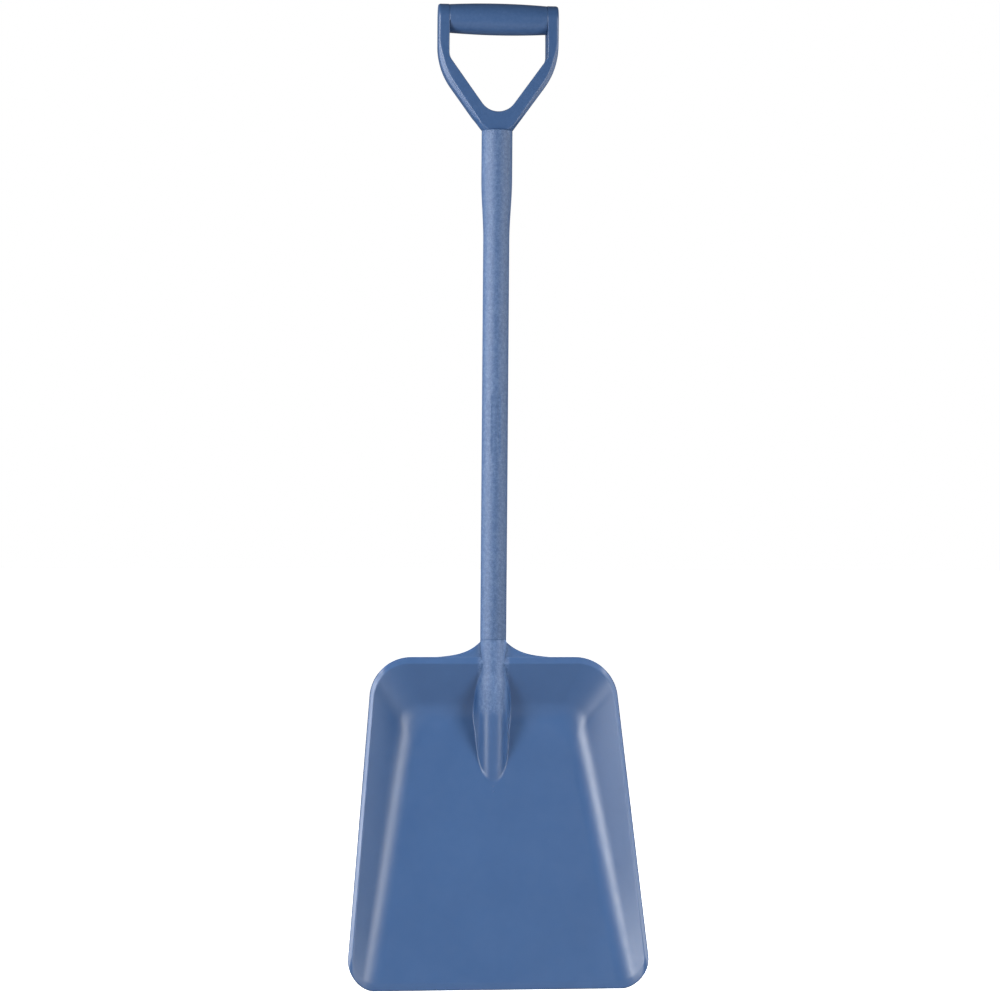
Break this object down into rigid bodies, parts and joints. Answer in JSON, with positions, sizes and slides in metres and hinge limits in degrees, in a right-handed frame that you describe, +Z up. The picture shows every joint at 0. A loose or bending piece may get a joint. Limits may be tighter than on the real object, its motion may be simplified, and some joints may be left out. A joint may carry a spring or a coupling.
{
  "type": "snow shovel",
  "caption": "Square-mouth plastic snow shovel with a deep tray pan, round socketed shaft and D-grip handle, in one dark blue.",
  "frame": {"origin": "middle of the pan's mouth edge, in the mid-thickness of the floor", "axes": "+Z up along the shaft towards the grip, +X to the right of somebody looking into the hollow of the pan, +Y towards the back of the pan; the hollow faces -Y"},
  "size_m": [0.3366, 0.1382, 1.1168],
  "materials": {
    "blade_plastic": "moulded polypropylene, smooth satin, dark blue through the mass",
    "sleeve_plastic": "moulded polypropylene, fine grained and faintly mottled, dark blue",
    "handle_plastic": "moulded polypropylene, smooth satin, dark blue",
    "grip_plastic": "moulded polypropylene, smooth satin with a soft sheen along the bar, dark blue",
    "plug_plastic": "plain black polyethylene",
    "core_aluminium": "drawn mill finish",
    "rod_steel": "drawn stainless",
    "screw_steel": "stainless, lightly worn"
  },
  "bodies": {
    "root": {"blade": "blade_plastic", "shaft_sleeve": "sleeve_plastic", "core_tube": "core_aluminium", "core_plug_top": "plug_plastic", "core_plug_bottom": "plug_plastic", "d_handle": "handle_plastic", "grip_sleeve": "grip_plastic", "grip_rod": "rod_steel", "grip_rod_caps": "handle_plastic", "blade_screws": "screw_steel", "handle_screw": "screw_steel"}
  },
  "joints": []
}
